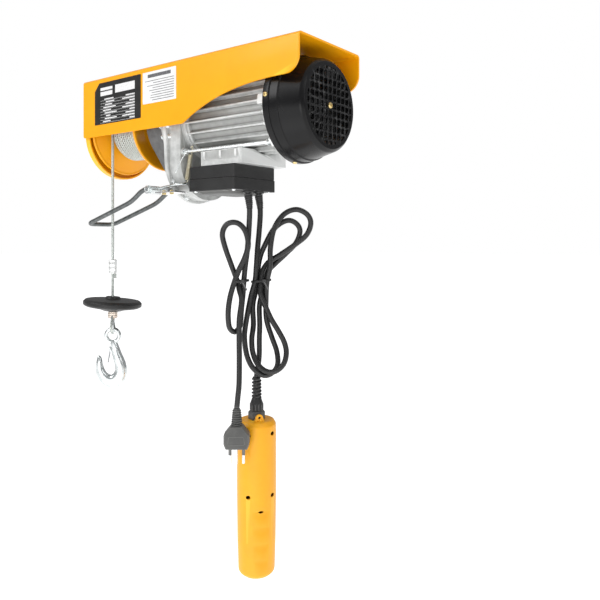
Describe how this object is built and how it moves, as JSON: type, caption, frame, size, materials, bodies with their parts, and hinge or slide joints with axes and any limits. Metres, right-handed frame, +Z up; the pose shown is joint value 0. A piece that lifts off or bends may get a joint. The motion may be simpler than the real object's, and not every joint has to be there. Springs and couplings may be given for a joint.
{
  "type": "electric wire rope hoist",
  "caption": "Electric wire rope hoist hung by a yellow channel frame, with rope drum, motor, gearbox, hook block, limit loop, push-button pendant and mains lead.",
  "frame": {"origin": "centre of the frame channel's top face", "axes": "+X towards the motor's fan end, -Y towards the rope side and front panel, +Z up"},
  "size_m": [0.4484, 0.1631, 0.7484],
  "materials": {
    "yellow_paint": "gloss enamel",
    "yellow_plastic": "satin moulded",
    "cast_alloy": "as cast",
    "gloss_black": "high gloss",
    "black_plastic": "satin moulded",
    "grey_plastic": "satin moulded",
    "capacitor_can": "drawn",
    "black_rubber": "smooth sheath",
    "galvanised_rope": "galvanised strand",
    "zinc_steel": "bright zinc plate",
    "dark_steel": "oiled black",
    "bright_steel": "machined",
    "laminated_core": "stacked sheet",
    "wound_core": "enamelled winding over stacked sheet",
    "bearing_bronze": "sintered",
    "sleeve_alloy": "pressed",
    "ferrule_copper": "pressed",
    "brake_lining": "friction lining"
  },
  "bodies": {
    "frame": {"frame_channel": "yellow_paint", "drum_end_plate": "yellow_paint", "pendant_front_shell": "yellow_plastic", "pendant_rear_shell": "yellow_plastic", "gearbox_housing": "cast_alloy", "gearbox_cover": "cast_alloy", "motor_housing": "cast_alloy", "motor_end_shield": "cast_alloy", "motor_plinth": "cast_alloy", "fan_cover": "gloss_black", "control_box": "black_plastic", "control_box_lid": "black_plastic", "pendant_gland_nut": "black_plastic", "pendant_end_plug": "black_plastic", "limit_switch": "black_plastic", "pendant_switch_block": "black_plastic", "terminal_block": "black_plastic", "control_box_base_plate": "grey_plastic", "mains_plug": "grey_plastic", "run_capacitor": "capacitor_can", "mains_cord": "black_rubber", "pendant_cord": "black_rubber", "limit_pivot_pin": "zinc_steel", "tie_rod_front_lower": "zinc_steel", "tie_rod_rear_lower": "zinc_steel", "tie_rod_front_upper": "zinc_steel", "tie_rod_rear_upper": "zinc_steel", "drum_bearing_right": "bright_steel", "motor_bearing_front": "bright_steel", "motor_bearing_rear": "bright_steel", "limit_bracket": "bright_steel", "brake_magnet": "bright_steel", "stator_core": "wound_core", "drum_bearing_left": "bearing_bronze", "layshaft_bush_left": "bearing_bronze", "layshaft_bush_right": "bearing_bronze", "return_spring": "bearing_bronze"},
    "drum": {"drum_shaft": "bright_steel", "rope_drum": "yellow_paint", "rope_winding": "galvanised_rope", "output_wheel": "bright_steel"},
    "layshaft": {"layshaft_wheel": "bright_steel", "layshaft_pinion": "bright_steel"},
    "rotor": {"motor_shaft": "bright_steel", "rotor_core": "laminated_core", "brake_disc": "brake_lining", "cooling_fan": "black_plastic"},
    "bottom_block": {"rope_crimp_sleeve": "sleeve_alloy", "limiter_disc": "black_plastic", "rope_ferrule": "ferrule_copper", "rope_thimble": "zinc_steel", "hanging_rope": "galvanised_rope"},
    "hook_body": {"hook": "zinc_steel"},
    "latch": {"hook_latch": "bright_steel"},
    "lever": {"limit_yoke": "zinc_steel", "stop_loop": "dark_steel"},
    "up_key": {"up_button": "black_plastic"},
    "down_key": {"down_button": "black_plastic"}
  },
  "joints": [
    {"name": "drum_spin", "type": "hinge", "parent": "frame", "child": "drum", "pos_m": [-0.1521, 0, -0.0815], "axis": [1, 0, 0], "range_deg": [-150, 15270]},
    {"name": "layshaft_spin", "type": "hinge", "parent": "frame", "child": "layshaft", "pos_m": [-0.045, 0, -0.1415], "axis": [1, 0, 0], "range_deg": [-76351, 751]},
    {"name": "rotor_spin", "type": "hinge", "parent": "frame", "child": "rotor", "pos_m": [0.07, 0, -0.0815], "axis": [1, 0, 0], "range_deg": [-4705.5, 478923.2]},
    {"name": "hook_travel", "type": "slide", "parent": "frame", "child": "bottom_block", "axis": [0, 0, 1], "range_m": [-11.397, 0.1123], "deforming": ["hanging_rope"]},
    {"name": "hook_swing", "type": "hinge", "parent": "bottom_block", "child": "hook_body", "pos_m": [-0.1815, -0.04275, -0.4121], "axis": [-0.606, 0.7955, 0], "range_deg": [-40, 40]},
    {"name": "latch_pivot", "type": "hinge", "parent": "hook_body", "child": "latch", "pos_m": [-0.18659, -0.04663, -0.4384], "axis": [0.606, -0.7955, 0], "range_deg": [0, 24], "stiffness_Nm_per_rad": 0.03, "springref_deg": -11.46},
    {"name": "limit_lever", "type": "hinge", "parent": "frame", "child": "lever", "pos_m": [-0.05, -0.0484, -0.1845], "axis": [0, 1, 0], "range_deg": [0, 8], "stiffness_Nm_per_rad": 1.2, "springref_deg": -14.32},
    {"name": "up_press", "type": "slide", "parent": "frame", "child": "up_key", "axis": [0.8123, -0.5832, 0], "range_m": [0, 0.0035], "stiffness_N_per_m": 400, "springref_m": -0.002},
    {"name": "down_press", "type": "slide", "parent": "frame", "child": "down_key", "axis": [0.8123, -0.5832, 0], "range_m": [0, 0.0035], "stiffness_N_per_m": 400, "springref_m": -0.002}
  ],
  "couplings": [
    {"joint": "layshaft_spin", "follows": "drum_spin", "ratio": -5},
    {"joint": "rotor_spin", "follows": "drum_spin", "ratio": 31.364},
    {"joint": "hook_travel", "follows": "drum_spin", "m_per_rad": -0.04275}
  ]
}
